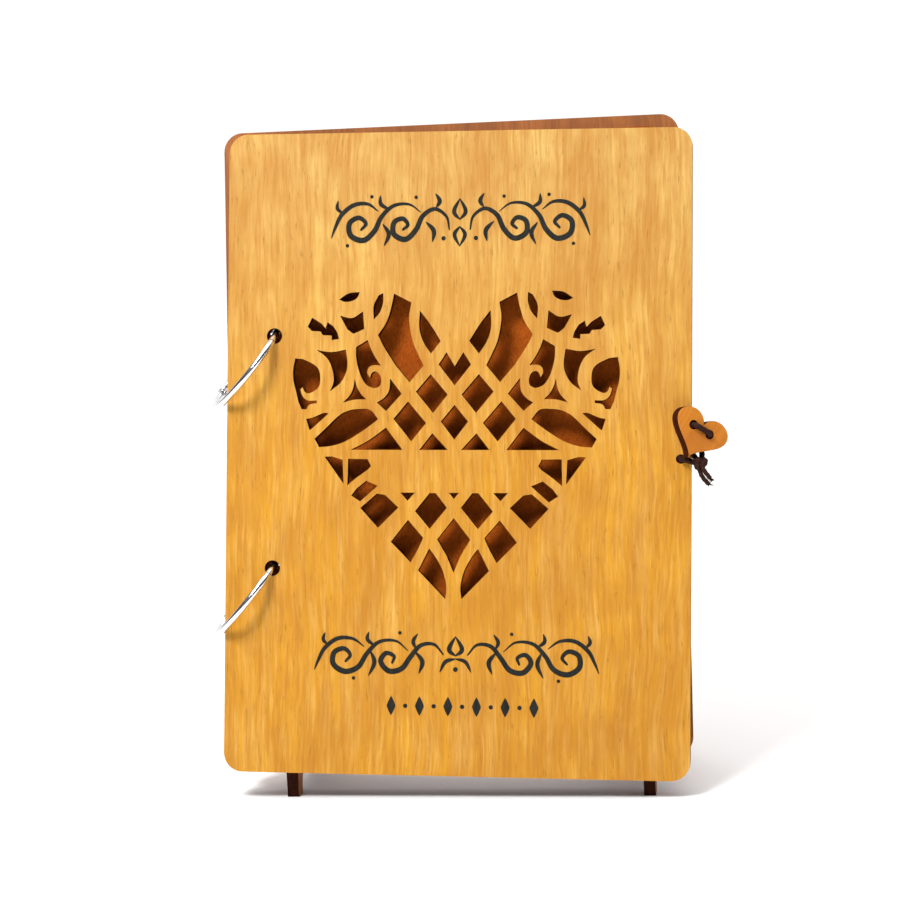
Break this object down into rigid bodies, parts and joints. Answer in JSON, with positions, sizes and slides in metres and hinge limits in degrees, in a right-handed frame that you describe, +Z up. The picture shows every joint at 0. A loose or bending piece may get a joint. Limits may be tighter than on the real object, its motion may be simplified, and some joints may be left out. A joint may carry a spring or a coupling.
{
  "type": "ring-bound guest book",
  "caption": "Wooden guest book with an openwork heart front cover, loose-leaf rings, kraft leaves and a heart button on a cord, leaning on a small easel stand.",
  "frame": {"origin": "on the table, under the middle of the whole object's bounding box", "axes": "+Z up, -Y towards the reader who faces the front cover, +X to that reader's right, along the covers' width"},
  "size_m": [0.1806, 0.0904, 0.2291],
  "materials": {
    "cover_wood": "thin birch plywood, satin honey stain, laser-cut edges",
    "plain_wood": "thin plywood with a darker brown stain",
    "paper": "uncoated brown kraft",
    "ring_chrome": "bright plated wire",
    "steel": "plain rivet steel",
    "cord": "dark brown waxed cord"
  },
  "bodies": {
    "stand": {"stand_side_left": "plain_wood", "stand_side_right": "plain_wood", "stand_bar_low": "plain_wood", "stand_bar_high": "plain_wood"},
    "book": {"back_cover": "plain_wood", "leaf_1": "paper", "leaf_2": "paper", "leaf_3": "paper", "leaf_4": "paper", "leaf_5": "paper", "leaf_6": "paper"},
    "leaf_7": {"leaf_7": "paper"},
    "leaf_8": {"leaf_8": "paper"},
    "ring_upper": {"ring_upper_fixed_half": "ring_chrome", "ring_upper_pin": "steel"},
    "ring_upper_gate": {"ring_upper_moving_half": "ring_chrome"},
    "ring_lower": {"ring_lower_fixed_half": "ring_chrome", "ring_lower_pin": "steel"},
    "ring_lower_gate": {"ring_lower_moving_half": "ring_chrome"},
    "cover": {"front_cover": "cover_wood", "cord_stop_knot": "cord"},
    "button": {"heart_button": "cover_wood", "button_lead_cord": "cord", "button_loop_cord": "cord", "button_knot": "cord", "button_cord_tail_1": "cord", "button_cord_tail_2": "cord"}
  },
  "joints": [
    {"name": "book_lift", "type": "slide", "parent": "stand", "child": "book", "axis": [0, 0.1392, 0.9903], "range_m": [0, 0.08]},
    {"name": "cover_open", "type": "hinge", "parent": "book", "child": "cover", "pos_m": [-0.07693, -0.02225, 0.12115], "axis": [0, 0.1392, 0.9903], "range_deg": [-45, 0]},
    {"name": "ring_upper_swing", "type": "hinge", "parent": "book", "child": "ring_upper", "pos_m": [-0.08402, -0.00553, 0.14537], "axis": [0.744, -0.2339, 0.6259], "range_deg": [-23.9, 0]},
    {"name": "ring_upper_open", "type": "hinge", "parent": "ring_upper", "child": "ring_upper_gate", "pos_m": [-0.08765, -0.00732, 0.1383], "axis": [0.7203, 0.2315, -0.6539], "range_deg": [0, 40]},
    {"name": "ring_lower_swing", "type": "hinge", "parent": "book", "child": "ring_lower", "pos_m": [-0.08043, -0.02405, 0.07073], "axis": [0.5287, 0.224, 0.8187], "range_deg": [-20.6, 0]},
    {"name": "ring_lower_open", "type": "hinge", "parent": "ring_lower", "child": "ring_lower_gate", "pos_m": [-0.08776, -0.01562, 0.05899], "axis": [0.7415, 0.1295, -0.6583], "range_deg": [0, 40]},
    {"name": "leaf_7_turn", "type": "hinge", "parent": "book", "child": "leaf_7", "pos_m": [-0.07943, -0.01977, 0.12081], "axis": [0, 0.1392, 0.9903], "range_deg": [-12.25, 0]},
    {"name": "leaf_8_turn", "type": "hinge", "parent": "book", "child": "leaf_8", "pos_m": [-0.07943, -0.02046, 0.1209], "axis": [0, 0.1392, 0.9903], "range_deg": [-23.5, 0]},
    {"name": "button_swing", "type": "hinge", "parent": "cover", "child": "button", "pos_m": [0.07436, -0.03154, 0.11319], "axis": [0.027, 0.1391, 0.9899], "range_deg": [-60, 0]}
  ],
  "couplings": [
    {"joint": "ring_upper_swing", "follows": "cover_open", "ratio": 0.5099},
    {"joint": "ring_lower_swing", "follows": "cover_open", "ratio": 0.435},
    {"joint": "leaf_7_turn", "follows": "cover_open", "ratio": 0.25},
    {"joint": "leaf_8_turn", "follows": "cover_open", "ratio": 0.5}
  ]
}
